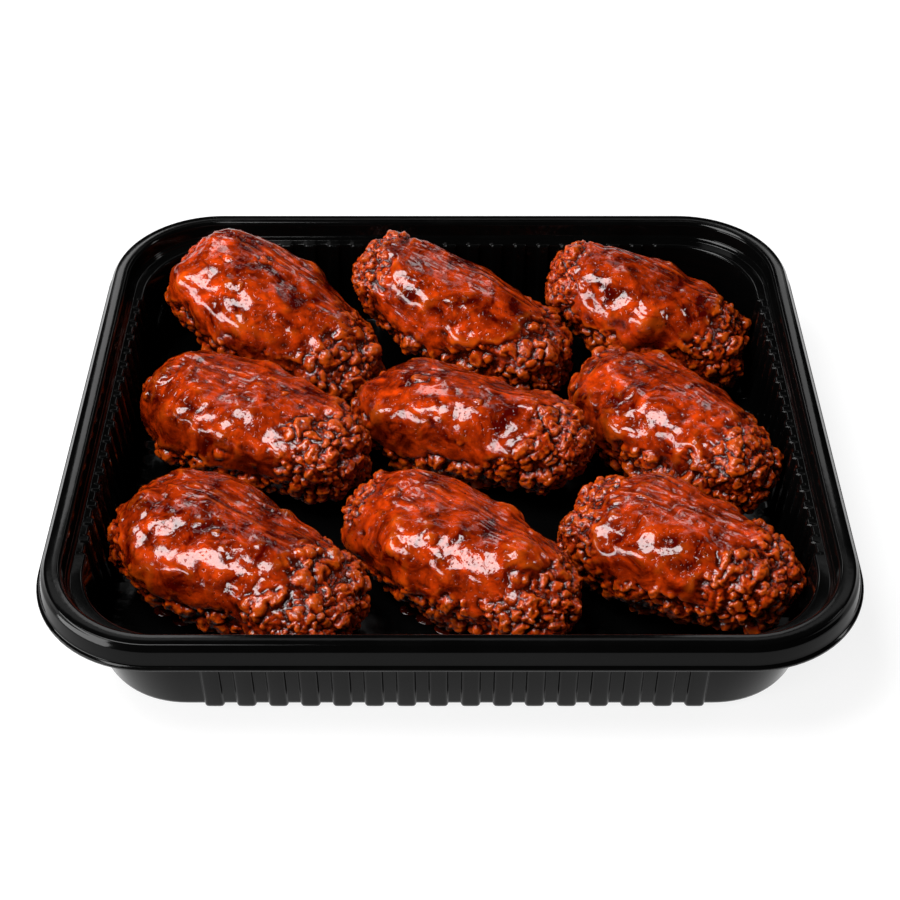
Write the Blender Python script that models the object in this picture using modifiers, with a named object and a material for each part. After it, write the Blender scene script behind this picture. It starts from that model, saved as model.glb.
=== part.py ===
"""Nine glazed chicken wings in a black ribbed tray with a stepped snap rim."""
import math
import random

import bmesh
import bpy
from mathutils import Matrix, Vector

MM = 0.001

# Tray sizes in millimetres, as a viewer from the front sees them
RIM_LENGTH = 250.0
RIM_DEPTH = 222.5
RIM_HEIGHT = 41.9
RIM_CORNER = 38.7
SHEET = 0.8
BAND_WIDTH = 4.0
SKIRT_HEIGHT = 7.8
LEDGE_HEIGHT = 35.0
LEDGE_EDGE = 13.4
WALL_CORNER = 28.5
FOOT_HEIGHT = 2.4
FOOT_INSET = 15.7
FLOOR_INSET = 17.2
FLOOR_CENTRE_INSET = 22.0
FLOOR_CENTRE_CORNER = 23.5
FLOOR_EDGE_LIFT = 0.22
CORNER_SHRINK = 0.9
CORNER_STEPS = 7

# Rim from its lower lip over the lid band to the ledge: (inset from the outline, height above the lip)
RIM_STEPS = (
    (0.0, 0.0),
    (0.0, 0.9),
    (0.9, 1.3),
    (1.2, 2.2),
    (2.0, 5.9),
    (2.8, 6.9),
    (3.3, SKIRT_HEIGHT),
    (3.3 + BAND_WIDTH, SKIRT_HEIGHT),
    (8.2, SKIRT_HEIGHT - 0.9),
    (8.6, SKIRT_HEIGHT - 5.4),
    (9.3, SKIRT_HEIGHT - 5.9),
    (9.9, SKIRT_HEIGHT - 6.9),
)

# Upright ribs pressed outward into each straight side
RIB_COUNTS = {"front": 16, "right": 17, "back": 18, "left": 17}
RIB_SPANS = {"front": (-71.9, 74.7), "right": (-62.0, 62.0), "back": (-75.0, 75.0), "left": (-62.0, 62.0)}
RIB_FLAT = 4.0
RIB_FLANK = 0.45
RIB_DEPTH_TOP = 1.1
RIB_DEPTH_FOOT = 1.4

# Food sizes in millimetres
FOOD_GAP = 0.3
SQUARENESS = 2.5
WING_SEGMENTS = 24
WING_RINGS = 20
FIST_SHARE = 0.8
FIST_SPREAD = 0.25
SWELL = 0.7
SWELL_WAVES = (5.0, 3.0)
TAPER_IN_HEIGHT = 0.5
SINK = 0.7
LIFT_LIMIT = 3.4
CLUMP_LIFT = (1.4, 3.1)
CLUMP_REACH = (3.8, 6.0)

# Lumps of crust: how many, then their range along the length and round it, in half turns
CLUMP_ZONES = (
    (24, (0.45, 0.98), (0.0, 2.0)),
    (9, (-0.98, -0.72), (0.0, 2.0)),
    (12, (-0.6, 0.5), (0.75, 2.25)),
)

# Each wing: place of its centre, size, turn and tip-up in degrees, taper towards the crusty end,
# swelling of that end, and knobs as (share along the length, angle round it in degrees, reach, lift)
WINGS = (
    {"centre": (-62.8, 62.8, 24.0), "size": (82.0, 46.5, 39.5), "turn": -31.5, "tip_up": 19.5,
     "taper": 0.13, "swell": 0.12, "knobs": ((-0.85, 215.0, 9.0, 5.0), (-0.80, 60.0, 8.0, 3.0))},
    {"centre": (4.3, 66.2, 23.5), "size": (85.0, 39.5, 38.0), "turn": -27.0, "tip_up": 18.0,
     "taper": -0.02, "swell": 0.14, "knobs": ((-0.85, 60.0, 8.0, 3.0),)},
    {"centre": (72.1, 67.9, 23.6), "size": (76.0, 37.5, 38.5), "turn": -22.5, "tip_up": 18.5,
     "taper": -0.05, "swell": 0.16, "knobs": ((-0.80, 300.0, 8.0, 2.0),)},
    {"centre": (-67.1, 11.2, 18.0), "size": (81.0, 43.5, 36.5), "turn": -29.0, "tip_up": 1.0,
     "taper": 0.21, "swell": 0.08, "knobs": ((-0.93, 110.0, 7.0, 5.0),)},
    {"centre": (7.6, 12.8, 17.2), "size": (82.0, 36.0, 35.5), "turn": -24.5, "tip_up": -4.0,
     "taper": 0.18, "swell": 0.16, "knobs": ((-0.90, 150.0, 8.0, 3.0),)},
    {"centre": (76.1, 9.2, 19.4), "size": (83.0, 40.4, 36.5), "turn": -49.0, "tip_up": -5.5,
     "taper": 0.20, "swell": 0.14, "knobs": ((0.90, 20.0, 7.0, 3.0),)},
    {"centre": (-66.6, -53.7, 17.5), "size": (85.5, 46.5, 35.0), "turn": -32.5, "tip_up": 5.0,
     "taper": 0.18, "swell": 0.18, "knobs": ((-0.88, 200.0, 9.0, 3.0),)},
    {"centre": (4.8, -49.5, 16.0), "size": (84.0, 41.5, 35.5), "turn": -39.0, "tip_up": -1.0,
     "taper": 0.20, "swell": 0.18, "knobs": ((-0.88, 150.0, 8.0, 3.0),)},
    {"centre": (73.6, -50.4, 18.4), "size": (75.5, 41.0, 36.0), "turn": -30.5, "tip_up": -2.0,
     "taper": 0.20, "swell": 0.04, "knobs": ((-0.86, 200.0, 7.0, 3.0),)},
)


def clear_scene():
    """Remove every object that the file starts with."""
    for old in list(bpy.data.objects):
        bpy.data.objects.remove(old, do_unlink=True)


def make_material(name, colour, roughness):
    """Return a Principled material of one colour."""
    material = bpy.data.materials.new(name)
    material.use_nodes = True
    shader = material.node_tree.nodes["Principled BSDF"]
    shader.inputs["Base Color"].default_value = (*colour, 1.0)
    shader.inputs["Roughness"].default_value = roughness
    shader.inputs["Metallic"].default_value = 0.0
    return material


def add_object(name, bm, material, collection):
    """Turn a bmesh into a smooth shaded object of the serving."""
    mesh = bpy.data.meshes.new(name)
    bm.to_mesh(mesh)
    bm.free()
    mesh.shade_smooth()
    mesh.set_sharp_from_angle(angle=math.radians(40.0))
    mesh.materials.append(material)
    obj = bpy.data.objects.new(name, mesh)
    collection.objects.link(obj)
    return obj


def rib_points(side, depth):
    """List the corners of one side's ribs as (distance along the side, depth outward)."""
    count = RIB_COUNTS[side]
    first, last = RIB_SPANS[side]
    points = []
    for index in range(count):
        centre = first + (last - first) * index / (count - 1)
        for offset, out in (
            (-RIB_FLAT / 2 - RIB_FLANK, 0.0),
            (-RIB_FLAT / 2, depth),
            (RIB_FLAT / 2, depth),
            (RIB_FLAT / 2 + RIB_FLANK, 0.0),
        ):
            points.append((centre + offset, out))
    return points


def make_ring(bm, inset, height, corner, rib_depth=None):
    """Add a rounded rectangle of vertices, as a list of (corner vertices, side vertices)."""
    half_x = RIM_LENGTH / 2 - inset
    half_y = RIM_DEPTH / 2 - inset
    # Sides run anticlockwise, each after its own corner: (name, corner centre signs, start angle)
    plan = (("front", -1, -1, 180.0), ("right", 1, -1, 270.0), ("back", 1, 1, 0.0), ("left", -1, 1, 90.0))
    ring = []
    for side, sign_x, sign_y, start in plan:
        centre = Vector((sign_x * (half_x - corner), sign_y * (half_y - corner), height))
        arc = []
        for step in range(CORNER_STEPS + 1):
            angle = math.radians(start + 90.0 * step / CORNER_STEPS)
            spot = centre + corner * Vector((math.cos(angle), math.sin(angle), 0.0))
            arc.append(bm.verts.new(spot * MM))
        straight = []
        if rib_depth is not None:
            out = Vector((math.cos(math.radians(start + 90.0)), math.sin(math.radians(start + 90.0)), 0.0))
            along = Vector((-out.y, out.x, 0.0))
            across_half = half_y if side in ("front", "back") else half_x
            for distance, depth in rib_points(side, rib_depth):
                spot = out * (across_half + depth) + along * distance + Vector((0.0, 0.0, height))
                straight.append(bm.verts.new(spot * MM))
        ring.append((arc, straight))
    return ring


def loft_rings(bm, outer, inner):
    """Join two rings, with one wide face a side where only one of them is ribbed."""
    for index, (arc, straight) in enumerate(outer):
        inner_arc, inner_straight = inner[index]
        for step in range(CORNER_STEPS):
            bm.faces.new((arc[step], arc[step + 1], inner_arc[step + 1], inner_arc[step]))
        after = (index + 1) % len(outer)
        outer_line = [arc[-1], *straight, outer[after][0][0]]
        inner_line = [inner_arc[-1], *inner_straight, inner[after][0][0]]
        if len(outer_line) == len(inner_line):
            for spot in range(len(outer_line) - 1):
                bm.faces.new((outer_line[spot], outer_line[spot + 1], inner_line[spot + 1], inner_line[spot]))
        else:
            bm.faces.new(outer_line + inner_line[::-1])


def build_tray(material, collection):
    """Build the tray as one open sheet that Solidify thickens to its underside."""
    lip = RIM_HEIGHT - SKIRT_HEIGHT
    bm = bmesh.new()
    rings = []
    for inset, rise in RIM_STEPS:
        rings.append(make_ring(bm, inset, lip + rise, RIM_CORNER - inset * CORNER_SHRINK))
    rings.append(make_ring(bm, LEDGE_EDGE, LEDGE_HEIGHT, WALL_CORNER, RIB_DEPTH_TOP))
    rings.append(make_ring(bm, FOOT_INSET, FOOT_HEIGHT, WALL_CORNER, RIB_DEPTH_FOOT))
    rings.append(make_ring(bm, FLOOR_INSET, SHEET + FLOOR_EDGE_LIFT, WALL_CORNER, RIB_DEPTH_FOOT))
    rings.append(make_ring(bm, FLOOR_CENTRE_INSET, SHEET, FLOOR_CENTRE_CORNER))
    for outer, inner in zip(rings[:-1], rings[1:]):
        loft_rings(bm, outer, inner)
    bm.faces.new([vertex for arc, straight in rings[-1] for vertex in arc])
    tray = add_object("tray", bm, material, collection)
    thicken = tray.modifiers.new("sheet", "SOLIDIFY")
    thicken.thickness = SHEET * MM
    thicken.offset = -1.0
    thicken.use_even_offset = True
    return tray


def spindle_point(direction, wing):
    """Return the smooth body's point, in millimetres, for one direction from its centre."""
    length, width, height = wing["size"]
    stretch = sum(abs(part) ** SQUARENESS for part in direction) ** (-1.0 / SQUARENESS)
    share, across, up = direction * stretch
    fist = 1.0 + wing["swell"] * math.exp(-(((share - FIST_SHARE) / FIST_SPREAD) ** 2))
    narrow = 1.0 - wing["taper"] * share
    return Vector((
        length / 2 * share,
        width / 2 * narrow * fist * across,
        height / 2 * (1.0 - TAPER_IN_HEIGHT * wing["taper"] * share) * up,
    ))


def spindle_normal(direction, wing):
    """Return the body's outward direction there."""
    length, width, height = wing["size"]
    return Vector((direction.x / length, direction.y / width, direction.z / height)).normalized()


def direction_at(share, angle):
    """Return a unit direction from a share along the length and an angle round it."""
    around = math.sqrt(max(0.0, 1.0 - share * share))
    return Vector((share, around * math.cos(angle), around * math.sin(angle)))


def crust_clumps(wing, draw):
    """List the crust's lumps as (place, reach, lift): most at the tip, fewer at the butt and low sides."""
    clumps = []
    for share, angle, reach, lift in wing["knobs"]:
        place = spindle_point(direction_at(share, math.radians(angle)), wing)
        clumps.append((place, reach, lift))
    spots = []
    for count, shares, half_turns in CLUMP_ZONES:
        spots += [(draw.uniform(*shares), draw.uniform(*half_turns) * math.pi) for _ in range(count)]
    for share, angle in spots:
        place = spindle_point(direction_at(share, angle), wing)
        clumps.append((place, draw.uniform(*CLUMP_REACH), draw.uniform(*CLUMP_LIFT)))
    return clumps


def build_wing(number, wing, material, collection):
    """Build one wing as a sphere shaped into a spindle with a lumpy crust and a flat seat."""
    draw = random.Random(number)
    clumps = crust_clumps(wing, draw)
    wave = draw.uniform(0.0, math.tau)
    along_waves, across_waves = SWELL_WAVES
    tip = Matrix.Rotation(math.radians(wing["tip_up"]), 3, "Y")
    across, away, middle = wing["centre"]
    bm = bmesh.new()
    poles_along_x = Matrix.Rotation(math.pi / 2, 4, "Y")
    bmesh.ops.create_uvsphere(
        bm, u_segments=WING_SEGMENTS, v_segments=WING_RINGS, radius=1.0, matrix=poles_along_x)
    for vertex in bm.verts:
        direction = vertex.co.normalized()
        point = spindle_point(direction, wing)
        swell = math.sin(along_waves * direction.x + wave) * math.cos(across_waves * direction.y + wave)
        lift = SWELL * swell
        for place, reach, height in clumps:
            lift += height * math.exp(-((point - place).length / reach) ** 2)
        lift = LIFT_LIMIT * math.tanh(lift / LIFT_LIMIT) - SINK
        point += spindle_normal(direction, wing) * lift
        point = tip @ point
        point.z = max(point.z + middle, 0.0)
        vertex.co = point * MM
    obj = add_object(f"wing_{number}", bm, material, collection)
    obj.location = Vector((across, away, SHEET + FOOD_GAP)) * MM
    obj.rotation_euler.z = math.radians(wing["turn"])
    return obj


def main():
    clear_scene()
    serving = bpy.data.collections.new("chicken_wings_serving")
    bpy.context.scene.collection.children.link(serving)
    plastic = make_material("black_plastic", (0.006, 0.006, 0.007), 0.25)
    build_tray(plastic, serving)
    for number, wing in enumerate(WINGS, start=1):
        glaze = make_material(f"glazed_crust_{number}", (0.21, 0.035, 0.006), 0.3)
        build_wing(number, wing, glaze, serving)


main()
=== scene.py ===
import math
import random
import bmesh
import bpy
import numpy as np
from mathutils import Matrix, Vector
from mathutils.kdtree import KDTree


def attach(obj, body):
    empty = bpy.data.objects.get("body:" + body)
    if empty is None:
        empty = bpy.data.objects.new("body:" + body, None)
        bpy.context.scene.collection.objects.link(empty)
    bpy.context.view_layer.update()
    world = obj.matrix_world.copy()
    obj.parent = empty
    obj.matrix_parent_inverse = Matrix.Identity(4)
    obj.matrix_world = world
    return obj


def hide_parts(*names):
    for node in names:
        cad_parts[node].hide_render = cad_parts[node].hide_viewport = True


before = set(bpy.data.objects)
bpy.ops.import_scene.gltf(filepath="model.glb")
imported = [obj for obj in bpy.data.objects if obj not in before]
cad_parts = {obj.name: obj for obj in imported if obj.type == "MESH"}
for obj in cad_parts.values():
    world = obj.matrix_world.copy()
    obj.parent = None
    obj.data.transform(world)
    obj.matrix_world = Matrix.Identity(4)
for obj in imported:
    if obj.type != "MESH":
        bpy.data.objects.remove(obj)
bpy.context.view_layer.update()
mm = 0.001
print("stage 1: frame loaded")


def hexColour(code):
    # sRGB hex to linear, with full alpha
    parts = [int(code[i:i + 2], 16) / 255 for i in (1, 3, 5)]
    return [p / 12.92 if p <= 0.04045 else ((p + 0.055) / 1.055) ** 2.4 for p in parts] + [1.0]


def addNode(tree, kind, settings=None, links=None):
    # lower case names are the node's own settings, the rest are its sockets
    node = tree.nodes.new(kind)
    for name, value in (settings or {}).items():
        if isinstance(name, str) and name.islower():
            setattr(node, name, value)
        else:
            node.inputs[name].default_value = value
    for name, socket in (links or {}).items():
        tree.links.new(socket, node.inputs[name])
    return node


def startMaterial(name):
    material = bpy.data.materials.new(name)
    material.use_nodes = True
    tree = material.node_tree
    tree.nodes.clear()
    output = addNode(tree, "ShaderNodeOutputMaterial")
    shader = addNode(tree, "ShaderNodeBsdfPrincipled")
    tree.links.new(shader.outputs["BSDF"], output.inputs["Surface"])
    return material, tree, shader


def finishPiece(bm, name, material):
    mesh = bpy.data.meshes.new(name)
    bm.to_mesh(mesh)
    bm.free()
    mesh.shade_smooth()
    mesh.materials.append(material)
    piece = bpy.data.objects.new(name, mesh)
    bpy.context.scene.collection.objects.link(piece)
    return piece


noiseTable = {"entries": 4096, "strides": (73, 1553, 2917)}


def softNoise(points, size, seed):
    # smooth lattice noise from -1 to 1, its lumps about size across
    table = np.random.default_rng(seed).random(noiseTable["entries"]) * 2 - 1
    grid = points / size
    cell = np.floor(grid).astype(np.int64)
    part = grid - cell
    ease = part * part * (3 - 2 * part)
    total = np.zeros(len(points))
    for corner in range(8):
        step = np.array([corner & 1, corner >> 1 & 1, corner >> 2 & 1])
        spot = cell + step
        key = (spot * noiseTable["strides"]).sum(axis=1) % noiseTable["entries"]
        total += table[key] * np.prod(np.where(step == 1, ease, 1 - ease), axis=1)
    return total


def layeredNoise(points, layers, number):
    # adds up layers given as (size, height, seed)
    return sum(softNoise(points, size, number + seed) * tall for size, tall, seed in layers)


def driftNoise(points, size, seed):
    # a slow noise of its own for each axis
    return np.stack([softNoise(points, size, seed + axis) for axis in range(3)], axis=1)


def smoothStep(low, high, values):
    share = np.clip((values - low) / (high - low), 0, 1)
    return share * share * (3 - 2 * share)


def paintAttribute(mesh, name, values):
    attribute = mesh.attributes.new(name, "FLOAT", "POINT")
    attribute.data.foreach_set("value", values.astype(np.float32))


# camera at the photo's angle, aimed at the middle of the tray
view = {"place": (0.0, -429.82, 407.14), "tilt": 47.951, "lens": 67.84, "sensor": 36.0}
cameraData = bpy.data.cameras.new("camera")
cameraData.lens = view["lens"]
cameraData.sensor_width = view["sensor"]
cameraObject = bpy.data.objects.new("camera", cameraData)
cameraObject.location = Vector(view["place"]) * mm
cameraObject.rotation_euler = (math.radians(view["tilt"]), 0, 0)
bpy.context.scene.collection.objects.link(cameraObject)
bpy.context.scene.camera = cameraObject
bpy.context.scene.view_settings.view_transform = "Standard"
print("stage 2: camera")


# tray, sizes in millimetres
trayShape = {
    "halfLength": 125.0, "halfDepth": 111.25, "cornerSteps": 22, "sheet": 0.8,
    # front, right, back and left: how many ribs, and where the first and the last one stand
    "ribCounts": (16, 17, 18, 17),
    "ribSpans": ((-71.9, 74.7), (-62.0, 62.0), (-75.0, 75.0), (-62.0, 62.0)),
    # one rib as (offset along the wall, share of the rib's depth)
    "ribForm": ((-3.3, 0.0), (-2.45, 0.0), (-2.1, 0.85), (-1.95, 0.97), (-1.7, 1.0), (0.0, 1.02),
                (1.7, 1.0), (1.95, 0.97), (2.1, 0.85), (2.45, 0.0), (3.3, 0.0)),
    # inset, height, corner radius, rib depth, rounding
    "profile": (
        (0.0, 34.15, 38.7, 0, 0), (0.0, 35.0, 38.7, 0, 0.25), (0.9, 35.4, 37.9, 0, 0.25),
        (1.2, 36.3, 37.6, 0, 0.25), (2.0, 40.0, 36.9, 0, 0.35), (2.8, 41.0, 36.2, 0, 0.25),
        (3.3, 41.9, 35.7, 0, 0.25), (7.3, 41.9, 32.1, 0, 0.3), (8.2, 41.0, 31.3, 0, 0.35),
        (8.6, 36.5, 31.0, 0, 0.4), (9.3, 36.0, 30.3, 0, 0.3), (9.9, 35.0, 29.8, 0, 0.3),
        (13.4, 35.0, 28.5, 1.1, 0.9), (14.6, 18.0, 28.5, 1.25, 1.0), (15.7, 2.4, 28.5, 1.4, 1.0),
        (17.2, 1.02, 28.5, 1.4, 0.9), (22.0, 0.8, 23.5, 0, 1.2), (26.0, 0.8, 20.0, 0, 0)),
    "roundSteps": 2, "mostRounding": 0.49,  # a rounding takes at most this share of a side
    "wallTop": 12, "wallFoot": 14,  # rows of the profile between which the drawn wall runs
}


def roundedProfile(profile, steps, mostShare):
    # cuts each corner of the profile with a short curve
    rows = [np.array(p[:4], float) for p in profile]
    result = [rows[0]]
    for before, here, after, spec in zip(rows[:-2], rows[1:-1], rows[2:], profile[1:-1]):
        back, ahead = before - here, after - here
        back = here + back * min(mostShare, spec[4] / np.hypot(*back[:2]))
        ahead = here + ahead * min(mostShare, spec[4] / np.hypot(*ahead[:2]))
        for step in range(steps + 1):
            t = step / steps
            result.append((1 - t) ** 2 * back + 2 * t * (1 - t) * here + t * t * ahead)
    return [[float(value) for value in row] for row in result + [rows[-1]]]


def outlineSpots(shape, inset, height, corner, ribDepth):
    # one loop round the tray: each corner's arc, then its side with the ribs
    halfX, halfY = shape["halfLength"] - inset, shape["halfDepth"] - inset
    spots = []
    for side, (signX, signY) in enumerate(((-1, -1), (1, -1), (1, 1), (-1, 1))):
        start = math.radians(180 + 90 * side)
        centre = Vector((signX * (halfX - corner), signY * (halfY - corner), height))
        for step in range(shape["cornerSteps"] + 1):
            angle = start + math.radians(90 * step / shape["cornerSteps"])
            spots.append(centre + corner * Vector((math.cos(angle), math.sin(angle), 0)))
        turn = start + math.radians(90)
        out = Vector((math.cos(turn), math.sin(turn), 0))
        along = Vector((-out.y, out.x, 0))
        wall = halfY if side % 2 == 0 else halfX
        low, high = shape["ribSpans"][side]
        for rib in range(shape["ribCounts"][side]):
            middle = low + (high - low) * rib / (shape["ribCounts"][side] - 1)
            for offset, lift in shape["ribForm"]:
                spot = out * (wall + ribDepth * lift) + along * (middle + offset)
                spots.append(spot + Vector((0, 0, height)))
    return spots


def makeTray(shape, material):
    rows = roundedProfile(shape["profile"], shape["roundSteps"], shape["mostRounding"])
    first = outlineSpots(shape, *rows[0])
    bm = bmesh.new()
    bmesh.ops.create_circle(bm, segments=len(first), radius=0.1)  # any radius: its points move to the outline
    bm.verts.ensure_lookup_table()
    number = bm.verts.layers.int.new("number")
    for index, vertex in enumerate(bm.verts):
        vertex[number] = index
        vertex.co = first[index] * mm
    loop = list(bm.edges)
    for row in rows[1:]:
        spots = outlineSpots(shape, *row)
        made = bmesh.ops.extrude_edge_only(bm, edges=loop)["geom"]
        loop = [e for e in made if isinstance(e, bmesh.types.BMEdge)]
        for vertex in (v for v in made if isinstance(v, bmesh.types.BMVert)):
            vertex.co = spots[vertex[number]] * mm
    bmesh.ops.contextual_create(bm, geom=loop)
    bmesh.ops.recalc_face_normals(bm, faces=bm.faces)
    bm.faces.ensure_lookup_table()
    floorFace = max(bm.faces, key=lambda f: len(f.verts))
    if floorFace.normal.z < 0:
        bmesh.ops.reverse_faces(bm, faces=bm.faces)
    piece = finishPiece(bm, "tray_sheet", material)
    wall = piece.modifiers.new("sheet", "SOLIDIFY")
    wall.thickness = shape["sheet"] * mm
    wall.offset = -1
    wall.use_even_offset = True
    return piece


# Polypropylene sheet, thermoformed and glossy: deep black with soft wide reflections
trayPlastic, tree, shader = startMaterial("polypropylene_black_thermoformed")
shader.inputs["IOR"].default_value = 1.49
shader.inputs["Specular IOR Level"].default_value = 0.12  # matched to the photo: duller than bare resin
place = addNode(tree, "ShaderNodeTexCoord")
cloud = addNode(tree, "ShaderNodeTexNoise", {"Scale": 1000 / 16, "Detail": 3.0, "Roughness": 0.5},
                {"Vector": place.outputs["Object"]})  # drawn sheet thins and thickens over about 16 mm
peel = addNode(tree, "ShaderNodeTexNoise", {"Scale": 1000 / 1.4, "Detail": 2.0},
               {"Vector": place.outputs["Object"]})  # fine mould texture, really finer than the 1.4 mm that shows
tone = addNode(tree, "ShaderNodeMix", {"data_type": "RGBA", 6: hexColour("#020202"), 7: hexColour("#050505")},
               {0: cloud.outputs["Fac"]})
gloss = addNode(tree, "ShaderNodeMapRange", {"From Min": 0.3, "From Max": 0.7, "To Min": 0.06, "To Max": 0.13},
                {"Value": cloud.outputs["Fac"]})
height = addNode(tree, "ShaderNodeSeparateXYZ", {}, {"Vector": place.outputs["Object"]})
satin = addNode(tree, "ShaderNodeMapRange", {"From Min": 0.0012, "From Max": 0.004, "To Min": 0.2, "To Max": 0.0},
                {"Value": height.outputs["Z"]})  # the floor is drawn against a blasted mould and comes out satin
finish = addNode(tree, "ShaderNodeMath", {"operation": "MAXIMUM"},
                 {0: gloss.outputs["Result"], 1: satin.outputs["Result"]})
wave = addNode(tree, "ShaderNodeBump", {"Strength": 0.12, "Distance": 0.0004}, {"Height": cloud.outputs["Fac"]})
grain = addNode(tree, "ShaderNodeBump", {"Strength": 0.05, "Distance": 0.0001},
                {"Height": peel.outputs["Fac"], "Normal": wave.outputs["Normal"]})
tree.links.new(tone.outputs[2], shader.inputs["Base Color"])
tree.links.new(finish.outputs[0], shader.inputs["Roughness"])
tree.links.new(grain.outputs["Normal"], shader.inputs["Normal"])

traySheet = makeTray(trayShape, trayPlastic)
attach(traySheet, "root")
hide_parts("tray")
print("stage 3: tray,", len(traySheet.data.polygons), "faces on one side")


# wings, sizes in millimetres: place of the centre, size, turn and tip-up in degrees, taper and swelling of the
# crusty end, knobs as (share along the length, angle round it, reach, lift), as the CAD solids have them, and the
# shares of the half length where the crust of either end begins
wings = (
    {"centre": (-62.8, 62.8, 24.0), "size": (82.0, 46.5, 39.5), "turn": -31.5, "tipUp": 19.5,
     "tipFrom": 0.42, "buttFrom": 0.86, "taper": 0.13, "swell": 0.12,
     "knobs": ((-0.85, 215.0, 9.0, 5.0), (-0.80, 60.0, 8.0, 3.0))},
    {"centre": (4.3, 66.2, 23.5), "size": (85.0, 39.5, 38.0), "turn": -27.0, "tipUp": 18.0,
     "tipFrom": 0.36, "buttFrom": 0.60, "taper": -0.02, "swell": 0.14,
     "knobs": ((-0.85, 60.0, 8.0, 3.0),)},
    {"centre": (72.1, 67.9, 23.6), "size": (76.0, 37.5, 38.5), "turn": -22.5, "tipUp": 18.5,
     "tipFrom": 0.40, "buttFrom": 0.55, "taper": -0.05, "swell": 0.16,
     "knobs": ((-0.80, 300.0, 8.0, 2.0),)},
    {"centre": (-67.1, 11.2, 18.0), "size": (81.0, 43.5, 36.5), "turn": -29.0, "tipUp": 1.0,
     "tipFrom": 0.42, "buttFrom": 0.84, "taper": 0.21, "swell": 0.08,
     "knobs": ((-0.93, 110.0, 7.0, 5.0),)},
    {"centre": (7.6, 12.8, 17.2), "size": (82.0, 36.0, 35.5), "turn": -24.5, "tipUp": -4.0,
     "tipFrom": 0.50, "buttFrom": 0.76, "taper": 0.18, "swell": 0.16,
     "knobs": ((-0.90, 150.0, 8.0, 3.0),)},
    {"centre": (76.1, 9.2, 19.4), "size": (83.0, 40.4, 36.5), "turn": -49.0, "tipUp": -5.5,
     "tipFrom": 0.48, "buttFrom": 0.66, "taper": 0.20, "swell": 0.14,
     "knobs": ((0.90, 20.0, 7.0, 3.0),)},
    {"centre": (-66.6, -53.7, 17.5), "size": (85.5, 46.5, 35.0), "turn": -32.5, "tipUp": 5.0,
     "tipFrom": 0.38, "buttFrom": 0.76, "taper": 0.18, "swell": 0.18,
     "knobs": ((-0.88, 200.0, 9.0, 3.0),)},
    {"centre": (4.8, -49.5, 16.0), "size": (84.0, 41.5, 35.5), "turn": -39.0, "tipUp": -1.0,
     "tipFrom": 0.48, "buttFrom": 0.72, "taper": 0.20, "swell": 0.18,
     "knobs": ((-0.88, 150.0, 8.0, 3.0),)},
    {"centre": (73.6, -50.4, 18.4), "size": (75.5, 41.0, 36.0), "turn": -30.5, "tipUp": -2.0,
     "tipFrom": 0.34, "buttFrom": 0.58, "taper": 0.20, "swell": 0.04,
     "knobs": ((-0.86, 200.0, 7.0, 3.0),)},
)
wingForm = {
    "around": 300, "along": 250, "squareness": 2.5, "seat": 1.1, "sink": 0.7, "liftLimit": 3.4,
    "swellAt": 0.8, "swellReach": 0.25, "heightTaper": 0.5, "wave": 0.7, "wavesAlong": 5, "wavesAcross": 3,
    # large lumps: how many, between which shares of the half length, and between which half turns round it
    "clumps": ((24, (0.45, 0.98), (0.0, 2.0)), (9, (-0.98, -0.72), (0.0, 2.0)), (12, (-0.6, 0.5), (0.75, 2.25))),
    "clumpReach": (3.8, 6.0), "clumpLift": (1.4, 3.1),
}
crustForm = {
    # the crust's edge: noise as (size, height, seed), then its fade, lean with the height, and shift
    "ragged": ((9.0, 0.17, 0), (3.5, 0.1, 20)), "tipEdge": (0.2, 0.2, 0.2), "buttEdge": (0.2, 0.12, 0.1),
    # low down: fade, raggedness, lean along the wing, and where it begins in front and behind
    "lowEdge": (0.3, 1.8, 0.35, -0.22, -0.25),
    # nodule sizes: how many, least and most radius, height as a share of the radius, how close they may stand
    "nodules": ((110, 2.2, 4.0, 0.5, 0.45), (430, 1.1, 2.1, 0.62, 0.4), (1100, 0.5, 1.0, 0.5, 0.38)),
    "strays": 0.004, "roundness": 0.7, "unevenness": (0.6, 1.2), "melt": 6.0, "bulge": 0.096,
    # nodules are bent out of true by two slow noises of these sizes and seeds
    "warp": 1.3, "slowWarp": (3.0, 200), "fineWarp": (1.4, 210), "fineWarpShare": 0.5,
    "folds": ((2.6, 0.5, 30),), "fineFolds": ((1.1, 0.16, 50),), "sink": 1.0, "gapDepth": 0.35, "gapWidth": 0.5,
    "wallGap": 0.25, "crest": 51.2, "creaseRounds": 14, "creaseSpan": 0.9,
}
skinForm = {
    # noise as (size, height, seed)
    "humps": ((16.0, 0.9, 40), (8.0, 0.55, 60)), "pebbles": ((4.2, 0.32, 80), (2.2, 0.12, 100)),
    # creases as (size, depth, width, seed), in patches as (size, seed) that fade in between two values
    "creases": ((6.5, 0.2, 0.1, 110), (3.4, 0.1, 0.14, 130)), "patches": (11.0, 90), "patchFade": (-0.1, 0.35),
    # long wrinkles on the far slope: where it begins across and upwards, and how their noise is drawn out
    "farAcross": (-0.35, 0.35), "farUp": (-0.3, 0.2), "drift": (10, 140), "stretch": (0.11, 1, 1),
    "wrinkles": ((1.5, 0.34, 120), (0.8, 0.12, 160)),
    "nearSlope": (0.1, 0.7), "lumps": ((6.0, 0.75, 170),),
    "blisters": 5, "blisterRadius": (0.8, 3.2), "blisterCloseness": 0.8, "blisterHeight": (0.1, 0.3),
    "blisterFoot": -0.2, "blisterReach": 1.4, "blisterRoundness": 0.9,
    "moatDepth": 0.25, "moatAt": 1.05, "moatWidth": 0.2,  # the dip round a blister
    "lift": 0.15, "underCrust": 0.3,  # the share of the skin's relief that stays under the crust
}


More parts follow.
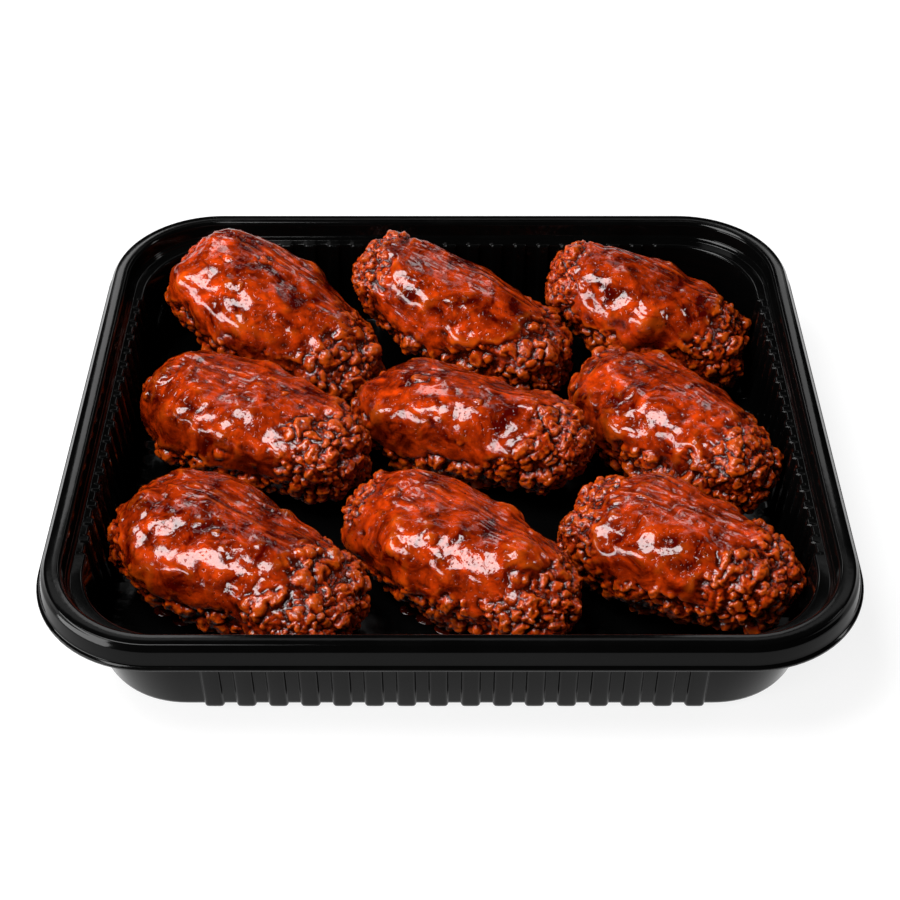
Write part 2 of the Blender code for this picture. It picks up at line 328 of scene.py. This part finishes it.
def bodyPoints(directions, wing, form):
    length, width, height = wing["size"]
    power = form["squareness"]
    stretch = (np.abs(directions) ** power).sum(axis=1) ** (-1 / power)
    share, across, up = (directions * stretch[:, None]).T
    fist = 1 + wing["swell"] * np.exp(-((share - form["swellAt"]) / form["swellReach"]) ** 2)
    narrow = 1 - wing["taper"] * share
    return np.stack((length / 2 * share, width / 2 * narrow * fist * across,
                     height / 2 * (1 - form["heightTaper"] * wing["taper"] * share) * up), axis=1)


def directionAt(share, angle):
    around = math.sqrt(max(0, 1 - share * share))
    return (share, around * math.cos(angle), around * math.sin(angle))


def clumpList(wing, form, draw):
    # the same large lumps as the solid has, drawn in the same order
    spots, sizes = [], []
    for share, angle, reach, lift in wing["knobs"]:
        spots.append((share, math.radians(angle)))
        sizes.append((reach, lift))
    drawn = []
    for count, shares, halfTurns in form["clumps"]:
        drawn += [(draw.uniform(*shares), draw.uniform(*halfTurns) * math.pi) for _ in range(count)]
    for spot in drawn:
        spots.append(spot)
        sizes.append((draw.uniform(*form["clumpReach"]), draw.uniform(*form["clumpLift"])))
    places = bodyPoints(np.array([directionAt(*s) for s in spots]), wing, form)
    return places, sizes


def neighbourMean(values, pairs, counts):
    result = np.zeros_like(values)
    for axis in range(values.shape[1]):
        result[:, axis] = (np.bincount(pairs[:, 0], values[pairs[:, 1], axis], len(values))
                           + np.bincount(pairs[:, 1], values[pairs[:, 0], axis], len(values)))
    return result / counts[:, None]


def scatterNodules(points, weight, count, low, high, closeness, dice):
    # seeds on the surface, each with its own radius, none too near another
    order = dice.choice(len(points), size=count * 3, p=weight / weight.sum())
    kept, places, radii = [], np.zeros((count, 3)), np.zeros(count)
    for index in order:
        radius = dice.uniform(low, high)
        done = len(kept)
        if done:
            gap = np.linalg.norm(places[:done] - points[index], axis=1)
            if (gap < closeness * (radii[:done] + radius)).any():
                continue
        places[done], radii[done] = points[index], radius
        kept.append(index)
        if len(kept) == count:
            break
    return list(zip(kept, radii[:len(kept)]))


def insideTray(points, shape, gap):
    # presses what would reach through the tray's wall back to a hair inside it
    top, foot = shape["profile"][shape["wallTop"]], shape["profile"][shape["wallFoot"]]
    drop = np.clip((top[1] - points[:, 2]) / (top[1] - foot[1]), 0, 1)
    inset = top[0] + (foot[0] - top[0]) * drop + gap
    half = np.stack((shape["halfLength"] - inset, shape["halfDepth"] - inset), axis=1)
    reach = np.abs(points[:, :2]) - (half - top[2])
    beyond = np.maximum(reach, 0)
    over = np.hypot(beyond[:, 0], beyond[:, 1]) + np.minimum(reach.max(axis=1), 0) - top[2]
    corner = beyond / np.maximum(np.hypot(beyond[:, 0], beyond[:, 1]), 1e-9)[:, None]
    over = np.where(points[:, 2] < top[1], over, 0)
    points[:, :2] -= np.sign(points[:, :2]) * corner * np.maximum(over, 0)[:, None]
    return points


def makeBall(form):
    bm = bmesh.new()
    bmesh.ops.create_uvsphere(bm, u_segments=form["around"], v_segments=form["along"], radius=1,
                              matrix=Matrix.Rotation(math.pi / 2, 4, "Y"))
    ball = bpy.data.meshes.new("ball")
    bm.to_mesh(ball)
    bm.free()
    ball.shade_smooth()
    return ball


def lumpyBody(directions, wing, form, draw):
    # the same club with the same large lumps as the CAD solid
    clumps, clumpSizes = clumpList(wing, form, draw)
    wave = draw.uniform(0, math.tau)
    body = bodyPoints(directions, wing, form)
    outward = directions / np.array(wing["size"])
    outward /= np.linalg.norm(outward, axis=1)[:, None]
    lift = (form["wave"] * np.sin(form["wavesAlong"] * directions[:, 0] + wave)
            * np.cos(form["wavesAcross"] * directions[:, 1] + wave))
    for place, (reach, rise) in zip(clumps, clumpSizes):
        lift += rise * np.exp(-((body - place) ** 2).sum(axis=1) / reach ** 2)
    lift = form["liftLimit"] * np.tanh(lift / form["liftLimit"]) - form["sink"]
    return body + outward * lift[:, None]


def crustShare(body, directions, up, number, wing, crust):
    # where the knobbly crust shows: the far end, the near end and low down, with a ragged edge
    share = directions[:, 0]
    ragged = layeredNoise(body, crust["ragged"], number)
    fade, lean, shift = crust["tipEdge"]
    tipCrust = smoothStep(0.0, fade, share + ragged - lean * up - wing["tipFrom"] + shift)
    fade, lean, shift = crust["buttEdge"]
    buttCrust = smoothStep(0.0, fade, -share + ragged - lean * up - wing["buttFrom"] + shift)
    fade, raggedness, slant, frontFrom, backFrom = crust["lowEdge"]
    begin = np.where(directions[:, 1] < 0, frontFrom, backFrom)
    lowCrust = smoothStep(0.0, fade, -up + ragged * raggedness + slant * share - begin)
    return np.clip(np.maximum(np.maximum(tipCrust, buttCrust), lowCrust), 0, 1)


def warpedPoints(body, number, crust):
    slow = driftNoise(body, crust["slowWarp"][0], number + crust["slowWarp"][1])
    fine = driftNoise(body, crust["fineWarp"][0], number + crust["fineWarp"][1])
    return body + (slow + crust["fineWarpShare"] * fine) * crust["warp"]


def neighbourTree(points):
    near = KDTree(len(points))
    for index, point in enumerate(points.tolist()):
        near.insert(point, index)
    near.balance()
    return near


def spotsAround(near, place, reach, radius):
    # what lies within reach of a place, and how far off as a share of the radius
    found = near.find_range(place, reach)
    return np.array([f[1] for f in found]), np.array([f[2] for f in found]) / radius


def crustRelief(body, bent, near, rough, evenness, number, crust, dice):
    # round-topped nodules of three sizes that meet in sharp creases, and the sideways bulge of each
    relief = np.zeros(len(body))
    slide = np.zeros((len(body), 3))
    weight = evenness * (rough + crust["strays"])
    for count, low, high, tall, closeness in crust["nodules"]:
        field = np.zeros(len(body))
        for index, radius in scatterNodules(body, weight, count, low, high, closeness, dice):
            ids, gaps = spotsAround(near, bent[index], radius, radius)
            dome = np.maximum(0, 1 - gaps ** 2) ** crust["roundness"]
            rise = tall * radius * dice.uniform(*crust["unevenness"]) * dome
            field[ids] += np.exp(crust["melt"] * rise) - 1
            slide[ids] += (body[ids] - body[index]) * (crust["bulge"] * dome)[:, None]
        relief += np.log1p(field) / crust["melt"]
    folds = np.abs(layeredNoise(body, crust["folds"], number)) + layeredNoise(body, crust["fineFolds"], number)
    gaps = crust["gapDepth"] * np.exp(-(relief / crust["gapWidth"]) ** 2)
    return (relief + folds - crust["sink"] - gaps) * rough, slide


def skinRelief(body, bent, near, directions, up, evenness, skin, number, form, dice):
    # slow humps, pebbled glaze with creases in it, long wrinkles on the far slope, and low blisters
    humps = layeredNoise(body, form["humps"], number)
    pebbles = layeredNoise(body, form["pebbles"], number)
    size, seed = form["patches"]
    patchy = smoothStep(*form["patchFade"], softNoise(body, size, number + seed))
    creases = patchy * sum(depth * np.exp(-(softNoise(body, size, number + seed) / width) ** 2)
                           for size, depth, width, seed in form["creases"])
    farSlope = smoothStep(*form["farAcross"], directions[:, 1]) * smoothStep(*form["farUp"], up)
    size, seed = form["drift"]
    strands = (body + driftNoise(body, size, number + seed)) * np.array(form["stretch"])
    wrinkles = layeredNoise(strands, form["wrinkles"], number)
    lumps = layeredNoise(body, form["lumps"], number) * smoothStep(*form["nearSlope"], -directions[:, 1])
    relief = humps + pebbles - creases + wrinkles * farSlope + lumps
    weight = evenness * (skin ** 2) * (up > form["blisterFoot"]) + 1e-9
    spread = (*form["blisterRadius"], form["blisterCloseness"])
    for index, radius in scatterNodules(body, weight, form["blisters"], *spread, dice):
        ids, gaps = spotsAround(near, bent[index], radius * form["blisterReach"], radius)
        height = dice.uniform(*form["blisterHeight"]) * radius
        dome = np.maximum(0, 1 - gaps ** 2) ** form["blisterRoundness"]
        moat = form["moatDepth"] * np.exp(-((gaps - form["moatAt"]) / form["moatWidth"]) ** 2)
        relief[ids] += height * (dome - moat)
    return relief


def placeWing(points, wing, form, crust):
    # tips and turns the wing, flattens its seat, and keeps it inside the tray and under the crest
    tip = np.array(Matrix.Rotation(math.radians(wing["tipUp"]), 3, "Y"))
    turn = np.array(Matrix.Rotation(math.radians(wing["turn"]), 3, "Z"))
    points = points @ tip.T
    points[:, 2] = np.maximum(points[:, 2] + wing["centre"][2], 0)
    points = points @ turn.T
    points += np.array((wing["centre"][0], wing["centre"][1], form["seat"]))
    points = insideTray(points, trayShape, crust["wallGap"])
    over = points[:, 2] - crust["crest"] + 1
    points[:, 2] = np.where(over > 0, crust["crest"] - 1 + np.tanh(over), points[:, 2])
    return points


def creaseDepth(mesh, points, normals, crust):
    # how deep each spot lies in its creases, for the painted shade in the creases between the nodules, where the
    # glaze also pools thick
    edges = np.zeros(len(mesh.edges) * 2, np.int64)
    mesh.edges.foreach_get("vertices", edges)
    pairs = edges.reshape(-1, 2)
    counts = np.bincount(pairs.ravel(), minlength=len(points))
    blurred = points
    for _ in range(crust["creaseRounds"]):
        blurred = neighbourMean(blurred, pairs, counts)
    depth = ((blurred - points) * normals).sum(axis=1)
    return np.clip(0.5 + depth / crust["creaseSpan"], 0, 1)


def meshNumbers(mesh, what):
    flat = np.zeros(len(mesh.vertices) * 3)
    mesh.vertices.foreach_get(what, flat)
    return flat.reshape(-1, 3)


def moveMesh(mesh, points):
    mesh.vertices.foreach_set("co", points.ravel())
    mesh.update()


def makeWing(number, wing, form, crust, skinLook, ball, material):
    draw = random.Random(number)
    dice = np.random.default_rng(number)
    mesh = ball.copy()
    mesh.name = f"wing_{number}_glazed"
    mesh.materials.append(material)
    piece = bpy.data.objects.new(mesh.name, mesh)
    bpy.context.scene.collection.objects.link(piece)
    directions = meshNumbers(mesh, "co")
    directions /= np.linalg.norm(directions, axis=1)[:, None]
    body = lumpyBody(directions, wing, form, draw)
    moveMesh(mesh, body)
    normals = meshNumbers(mesh, "normal")

    share = directions[:, 0]
    up = directions[:, 2] / np.maximum(1e-6, np.hypot(directions[:, 1], directions[:, 2]))
    rough = crustShare(body, directions, up, number, wing, crust)
    skin = 1 - rough
    bent = warpedPoints(body, number, crust)
    near = neighbourTree(bent)
    evenness = np.sqrt(np.maximum(0, 1 - share * share)) + 0.02  # the ball's faces crowd towards its poles
    relief, slide = crustRelief(body, bent, near, rough, evenness, number, crust, dice)
    skinLift = skinRelief(body, bent, near, directions, up, evenness, skin, number, skinLook, dice)
    under = skinLook["underCrust"]
    relief = relief + (skinLift + skinLook["lift"]) * (under + (1 - under) * skin)

    points = placeWing(body + normals * relief[:, None] + slide * rough[:, None], wing, form, crust)
    moveMesh(mesh, points * mm)
    paintAttribute(mesh, "crease", creaseDepth(mesh, points, meshNumbers(mesh, "normal"), crust))
    paintAttribute(mesh, "crust", rough)
    return piece


# Sugar and chilli glaze, brushed on and sticky: a clear wet film over a deep red-brown, burnt orange where it is thin
glaze, tree, shader = startMaterial("sugar_glaze_on_fried_crust")
shader.inputs["IOR"].default_value = 1.45
shader.inputs["Specular IOR Level"].default_value = 0.36  # matched to the photo's highlights
shader.inputs["Coat Weight"].default_value = 0.2
shader.inputs["Coat Roughness"].default_value = 0.03
shader.inputs["Coat IOR"].default_value = 1.48
place = addNode(tree, "ShaderNodeTexCoord")
crease = addNode(tree, "ShaderNodeAttribute", {"attribute_name": "crease"})
crust = addNode(tree, "ShaderNodeAttribute", {"attribute_name": "crust"})
patches = addNode(tree, "ShaderNodeTexNoise",
                  {"Scale": 1000 / 10, "Detail": 5.0, "Roughness": 0.62, "Distortion": 0.8},
                  {"Vector": place.outputs["Object"]})  # glaze pools about 10 mm across
specks = addNode(tree, "ShaderNodeTexNoise", {"Scale": 1000 / 1.8, "Detail": 3.0, "Roughness": 0.65},
                 {"Vector": place.outputs["Object"]})  # fried crumb grain of 1.8 mm
pepper = addNode(tree, "ShaderNodeTexNoise", {"Scale": 1000 / 1.1, "Detail": 1.0},
                 {"Vector": place.outputs["Object"]})  # ground pepper and char, about 0.5 mm
film = addNode(tree, "ShaderNodeTexNoise",
               {"Scale": 1000 / 3.2, "Detail": 2.0, "Roughness": 0.5, "Distortion": 0.5},
               {"Vector": place.outputs["Object"]})  # the glaze film pulls into 3 mm pools
thin = addNode(tree, "ShaderNodeMapRange", {"From Min": 0.38, "From Max": 0.62},
               {"Value": patches.outputs["Fac"]})
grainy = addNode(tree, "ShaderNodeMapRange", {"From Min": 0.35, "From Max": 0.65},
                 {"Value": specks.outputs["Fac"]})
mottle = addNode(tree, "ShaderNodeMapRange", {"From Min": 0.35, "From Max": 0.65, "To Min": 0.45, "To Max": 1.0},
                 {"Value": film.outputs["Fac"]})
amber = addNode(tree, "ShaderNodeMath", {"operation": "MULTIPLY"},
                {0: thin.outputs["Result"], 1: mottle.outputs["Result"]})  # the orange where the glaze is thin
skinTone = addNode(tree, "ShaderNodeMix", {"data_type": "RGBA", 6: hexColour("#3E0200"), 7: hexColour("#BC3605")},
                   {0: amber.outputs[0]})
crustTone = addNode(tree, "ShaderNodeMix", {"data_type": "RGBA", 6: hexColour("#360300"), 7: hexColour("#A82E06")},
                    {0: grainy.outputs["Result"]})
warm = addNode(tree, "ShaderNodeMix", {"data_type": "RGBA"},
               {0: crust.outputs["Fac"], 6: skinTone.outputs[2], 7: crustTone.outputs[2]})
# painted light: raised tops and nodule crowns are turned a lighter orange, partly for the thin glaze there and partly
# as painted light
high = addNode(tree, "ShaderNodeMapRange", {"From Min": 0.42, "From Max": 0.08, "To Max": 0.5},
               {"Value": crease.outputs["Fac"]})
paintedLitTops = addNode(tree, "ShaderNodeMix", {"data_type": "RGBA", 7: hexColour("#C8520A")},
              {0: high.outputs["Result"], 6: warm.outputs[2]})
# painted shade: down in the creases the glaze is mixed towards near black where shade falls, on top of the thicker
# glaze pooled there
deep = addNode(tree, "ShaderNodeMapRange", {"From Min": 0.48, "From Max": 0.78, "To Max": 0.92},
               {"Value": crease.outputs["Fac"]})
shade = addNode(tree, "ShaderNodeMix", {"data_type": "RGBA", 7: hexColour("#260401")},
                {0: deep.outputs["Result"], 6: paintedLitTops.outputs[2]})
dot = addNode(tree, "ShaderNodeMapRange", {"From Min": 0.7, "From Max": 0.78, "To Max": 0.8},
              {"Value": pepper.outputs["Fac"]})
tone = addNode(tree, "ShaderNodeMix", {"data_type": "RGBA", 7: hexColour("#1C0602")},
               {0: dot.outputs["Result"], 6: shade.outputs[2]})
centred = addNode(tree, "ShaderNodeMath", {"operation": "SUBTRACT", 1: 0.5}, {0: film.outputs["Fac"]})
pull = addNode(tree, "ShaderNodeMath", {"operation": "ABSOLUTE"}, {0: centred.outputs[0]})
rim = addNode(tree, "ShaderNodeMapRange", {"From Min": 0.0, "From Max": 0.06}, {"Value": pull.outputs[0]})
filmBump = addNode(tree, "ShaderNodeBump", {"Strength": 0.05, "Distance": 0.0003},
                   {"Height": rim.outputs["Result"]})
pit = addNode(tree, "ShaderNodeMapRange", {"From Min": 0.62, "From Max": 0.72, "To Min": 1.0, "To Max": 0.0},
              {"Value": pepper.outputs["Fac"]})
pitBump = addNode(tree, "ShaderNodeBump", {"Strength": 0.5, "Distance": 0.0002},
                  {"Height": pit.outputs["Result"], "Normal": filmBump.outputs["Normal"]})
grit = addNode(tree, "ShaderNodeMapRange", {"To Min": 0.02, "To Max": 0.6}, {"Value": crust.outputs["Fac"]})
pores = addNode(tree, "ShaderNodeBump", {"Distance": 0.0005},
                {"Height": specks.outputs["Fac"], "Strength": grit.outputs["Result"],
                 "Normal": pitBump.outputs["Normal"]})
gloss = addNode(tree, "ShaderNodeMapRange", {"From Min": 0.3, "From Max": 0.7, "To Min": 0.045, "To Max": 0.1},
                {"Value": patches.outputs["Fac"]})
tree.links.new(tone.outputs[2], shader.inputs["Base Color"])
tree.links.new(gloss.outputs["Result"], shader.inputs["Roughness"])
tree.links.new(pores.outputs["Normal"], shader.inputs["Normal"])
tree.links.new(pores.outputs["Normal"], shader.inputs["Coat Normal"])

ball = makeBall(wingForm)
for number, wing in enumerate(wings, start=1):
    piece = makeWing(number, wing, wingForm, crustForm, skinForm, ball, glaze)
    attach(piece, "root")
    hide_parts(f"wing_{number}")
    print("stage 4: wing", number, len(piece.data.polygons), "faces")

# dark film of glaze at the feet of the front left and front middle wings, in millimetres: x, y and radius
filmForm = {
    "spots": ((-98, -51, 3.0), (-92, -56.5, 4.0), (-86, -61, 3.4),
              (-13, -56.5, 3.2), (-7, -60, 4.0), (-1.5, -64.5, 3.6)),
    "narrow": 0.8, "flatness": 0.1, "floorTop": 0.85, "steps": (24, 12), "creaseShadeShare": 0.78,
}
bm = bmesh.new()
for x, y, radius in filmForm["spots"]:
    spread = Matrix.Diagonal((radius, radius * filmForm["narrow"], radius * filmForm["flatness"], 1))
    bmesh.ops.create_uvsphere(bm, u_segments=filmForm["steps"][0], v_segments=filmForm["steps"][1], radius=1,
                              matrix=Matrix.Translation((x, y, filmForm["floorTop"])) @ spread)
bmesh.ops.scale(bm, vec=(mm, mm, mm), verts=bm.verts)
floorFilm = finishPiece(bm, "glaze_film", glaze)
# the film is given the glaze's painted crease shade at this share, which makes it near black
paintAttribute(floorFilm.data, "crease", np.full(len(floorFilm.data.vertices), filmForm["creaseShadeShare"]))
paintAttribute(floorFilm.data, "crust", np.zeros(len(floorFilm.data.vertices)))
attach(floorFilm, "root")
print("stage 5: film of glaze on the floor")


# floor and soft studio light, sizes in metres
studio = {
    "floorRadius": 4.5, "wallHeight": 0.3, "floorColour": "#808080", "floorGlow": 0.85,
    "skyColour": "#F2F2F2", "sky": 0.01,
    "lights": (
        {"name": "softbox", "place": (-0.4, -0.1, 0.9), "size": (0.52, 0.5), "glow": 17.0},
        {"name": "sideBox", "place": (-1.0, -0.45, 0.3), "size": (0.9, 0.4), "glow": 14.0},
        {"name": "leftBackBox", "place": (-0.4, 1.12, 0.96), "size": (0.2, 0.4), "glow": 5.6},
        {"name": "rightBackBox", "place": (0.4, 1.16, 0.98), "size": (0.2, 0.36), "glow": 3.8},
        {"name": "backStrip", "place": (0.0, 1.72, 1.15), "size": (1.6, 0.09), "glow": 1.5},
        {"name": "topBackBox", "place": (0.0, 0.84, 1.1), "size": (1.3, 0.14), "glow": 1.4},
        {"name": "rightBox", "place": (0.95, 0.1, 0.75), "size": (0.16, 0.2), "glow": 12.0},
    ),
}
# Lit acrylic table: white all over and nearly without a shadow
acrylic, tree, shader = startMaterial("opal_acrylic_table")
shader.inputs["Base Color"].default_value = hexColour(studio["floorColour"])
shader.inputs["Roughness"].default_value = 0.9
shader.inputs["Specular IOR Level"].default_value = 0.0
shader.inputs["Emission Color"].default_value = hexColour("#FFFFFF")
shader.inputs["Emission Strength"].default_value = studio["floorGlow"]
bm = bmesh.new()
bmesh.ops.create_circle(bm, cap_ends=True, segments=96, radius=studio["floorRadius"])
rising = bmesh.ops.extrude_edge_only(bm, edges=[e for e in bm.edges if e.is_boundary])["geom"]
upper = [v for v in rising if isinstance(v, bmesh.types.BMVert)]
bmesh.ops.translate(bm, verts=upper, vec=(0, 0, studio["wallHeight"]))
studioFloor = finishPiece(bm, "studio_floor", acrylic)
world = bpy.data.worlds.new("studio")
world.use_nodes = True
world.node_tree.nodes["Background"].inputs["Color"].default_value = hexColour(studio["skyColour"])
world.node_tree.nodes["Background"].inputs["Strength"].default_value = studio["sky"]
bpy.context.scene.world = world
for spec in studio["lights"]:
    lamp = bpy.data.lights.new(spec["name"], "AREA")
    lamp.shape = "RECTANGLE"
    lamp.size, lamp.size_y = spec["size"]
    lamp.energy = spec["glow"] * math.pi * lamp.size * lamp.size_y
    lampObject = bpy.data.objects.new(spec["name"], lamp)
    lampObject.location = spec["place"]
    lampObject.rotation_euler = (-Vector(spec["place"])).to_track_quat("-Z", "Y").to_euler()
    bpy.context.scene.collection.objects.link(lampObject)
print("stage 6: studio")
